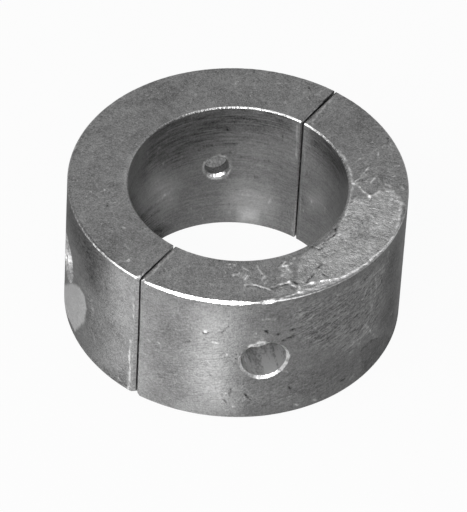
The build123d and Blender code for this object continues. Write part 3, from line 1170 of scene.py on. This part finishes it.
def share_of_white(tree):
    """How white the stage looks to a ray: most to the camera, and less in a reflection."""
    path = add(tree, "ShaderNodeLightPath")
    direct = add(tree, "ShaderNodeMath", {
        0: path.outputs["Is Camera Ray"], 1: path.outputs["Is Transmission Ray"]}, operation="MAXIMUM")
    reflected = add(tree, "ShaderNodeMath", {
        0: path.outputs["Is Glossy Ray"], 1: WHITE_IN_METAL}, operation="MULTIPLY")
    return add(tree, "ShaderNodeMath", {
        0: direct.outputs[0], 1: WHITE_TO_CAMERA, 2: reflected.outputs[0]}, operation="MULTIPLY_ADD")


def pale_floor(scene):
    """A matt paper floor that keeps the anode's shadow."""
    corners = ((-1, -1, 0), (1, -1, 0), (1, 1, 0), (-1, 1, 0))
    floor = mesh_object("floor", [Vector(corner) * FLOOR_REACH for corner in corners], [(0, 1, 2, 3)])
    paper = bpy.data.materials.new("matt_paper")
    paper.use_nodes = True
    tree = paper.node_tree
    shader = tree.nodes["Principled BSDF"]
    shader.inputs["Base Color"].default_value = [*scene.anode_colours.floor, 1.0]
    shader.inputs["Roughness"].default_value = 0.9
    shader.inputs["Specular IOR Level"].default_value = 0.0
    white = add(tree, "ShaderNodeEmission", {"Color": to_linear("#ffffff"), "Strength": 1.0})
    mixed = add(tree, "ShaderNodeMixShader", {
        0: share_of_white(tree).outputs[0], 1: shader.outputs[0], 2: white.outputs[0]})
    tree.links.new(mixed.outputs[0], tree.nodes["Material Output"].inputs["Surface"])
    floor.data.materials.append(paper)


def soft_lights(scene):
    """Softboxes round the anode, whose outlines the turned metal draws out into bands."""
    *_, back = camera_stand()
    front = np.arctan2(back[1], back[0])
    aim = Vector(LAMP_AIM)
    for i, (aside, up, away, width, height, radiance) in enumerate(SOFTBOXES):
        turn = front + radians(aside)
        place = aim + away * Vector((
            cos(radians(up)) * cos(turn), cos(radians(up)) * sin(turn), sin(radians(up))))
        lamp = bpy.data.lights.new(f"softbox_{i + 1}", "AREA")
        lamp.shape = "RECTANGLE"
        lamp.size, lamp.size_y = width, height
        lamp.energy = radiance * pi * width * height
        box = bpy.data.objects.new(lamp.name, lamp)
        turned = (place - aim).to_track_quat("Z", "Y").to_matrix().to_4x4()
        box.matrix_world = Matrix.Translation(place) @ turned
        scene.collection.objects.link(box)


def plain_world(scene):
    """White air that lights evenly from all round."""
    world = bpy.data.worlds.new("studio_air")
    world.use_nodes = True
    tree = world.node_tree
    background = tree.nodes["Background"]
    background.inputs["Color"].default_value = to_linear("#ffffff")
    strength = add(tree, "ShaderNodeMath", {
        0: share_of_white(tree).outputs[0], 1: 1.0 - WORLD_LIGHT, 2: WORLD_LIGHT},
        operation="MULTIPLY_ADD")
    tree.links.new(strength.outputs[0], background.inputs["Strength"])
    scene.world = world


def place_camera(scene):
    """A long lens from the front and above, rolled a little."""
    place, right, top, back = (Vector(way) for way in camera_stand())
    lens = bpy.data.cameras.new("studio_camera")
    lens.sensor_width = SENSOR
    lens.lens = PIXELS_PER_RADIAN * SENSOR / VIEW_HEIGHT
    lens.clip_start, lens.clip_end = 0.05, 50
    camera = bpy.data.objects.new("studio_camera", lens)
    camera.matrix_world = Matrix.Translation(place) @ Matrix((right, top, back)).transposed().to_4x4()
    scene.collection.objects.link(camera)
    scene.camera = camera


# ---- Operators and panel ----

FEWEST_FACES = 10000
SHARP_FROM = radians(35)


class ANODE_OT_cast_halves(bpy.types.Operator):
    """Cast, bore, drill and file the two halves in place of the plain ones"""

    bl_idname = "anode.cast_halves"
    bl_label = "Cast Both Halves"
    bl_options = {"REGISTER", "UNDO"}

    def execute(self, context):
        sizes = context.scene.anode_sizes
        finishes = [make(context.scene.anode_colours) for make in (
            cast_zinc_skin, faced_zinc, bored_zinc, filed_zinc, drilled_zinc)]
        tree = half_ring_tree()
        section, drill = ring_section(sizes), step_drill(sizes)
        # the saw took its cut from the second half, and each half's centre moved in by half of it
        shift = sizes.saw_loss / 2
        for name, node, loss, centre, turn, front, seed in (
            ("casting_half_a", "collar_half_a", 0.0, -shift, 0.0, -1, 3),
            ("casting_half_b", "collar_half_b", sizes.saw_loss, shift, pi, 1, 11),
        ):
            cut = sizes.half_gap + loss
            files = file_block(sizes, cut, front)
            mesh = evaluated(section, tree, {
                "Drill": drill, "Files": files, "Bore Radius": sizes.bore_radius,
                "Height": sizes.height, "Overrun": OVERRUN, "Turn Steps": TURN_STEPS,
                "Hole Count": len(HOLE_ANGLES), "First Hole": FIRST_HOLE,
                "Hole Spacing": HOLE_SPACING,
                "Unevenness": sizes.unevenness, "Ripple": sizes.ripple, "Seed": float(seed),
                "Metal": finishes[SKIN]})
            discard(files)
            if len(mesh.polygons) < FEWEST_FACES:
                raise RuntimeError(f"{name} came out nearly empty, so a cut has failed")
            mesh.name = name
            without_slivers(mesh)
            mesh.materials.clear()
            for finish in finishes:
                mesh.materials.append(finish)
            finish_by_place(mesh, sizes, cut)
            mark_half(mesh, name, sizes, cut, centre, turn, seed)
            note_place(mesh, sizes)
            mesh.transform(Matrix.Translation((0, centre, 0)) @ Matrix.Rotation(turn, 4, "Z"))
            mesh.shade_smooth()
            mesh.set_sharp_from_angle(angle=SHARP_FROM)
            piece = bpy.data.objects.new(name, mesh)
            context.scene.collection.objects.link(piece)
            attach(piece, "root")
            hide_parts(node)
        discard(section)
        discard(drill)
        return {"FINISHED"}


class ANODE_OT_set_stage(bpy.types.Operator):
    """Lay the pale floor and set the soft lights, the world and the camera"""

    bl_idname = "anode.set_stage"
    bl_label = "Set the Stage"
    bl_options = {"REGISTER", "UNDO"}

    def execute(self, context):
        scene = context.scene
        scene.view_settings.view_transform = "Standard"
        pale_floor(scene)
        soft_lights(scene)
        plain_world(scene)
        place_camera(scene)
        return {"FINISHED"}


class ANODE_PT_panel(bpy.types.Panel):
    """Sizes, colours and steps of the anode"""

    bl_label = "Split Collar Anode"
    bl_space_type = "VIEW_3D"
    bl_region_type = "UI"
    bl_category = "Anode"

    def draw(self, context):
        column = self.layout.column()
        for group in (context.scene.anode_sizes, context.scene.anode_colours):
            for name in group.__annotations__:
                column.prop(group, name)
        for step in STEPS:
            column.operator(step.bl_idname)


STEPS = (ANODE_OT_cast_halves, ANODE_OT_set_stage)
CLASSES = (AnodeSizes, AnodeColours, *STEPS, ANODE_PT_panel)


def register():
    for item in CLASSES:
        bpy.utils.register_class(item)
    bpy.types.Scene.anode_sizes = bpy.props.PointerProperty(type=AnodeSizes)
    bpy.types.Scene.anode_colours = bpy.props.PointerProperty(type=AnodeColours)


def unregister():
    del bpy.types.Scene.anode_colours
    del bpy.types.Scene.anode_sizes
    for item in reversed(CLASSES):
        bpy.utils.unregister_class(item)


def main():
    register()
    bpy.ops.anode.cast_halves()
    bpy.ops.anode.set_stage()


if __name__ == "__main__":
    main()
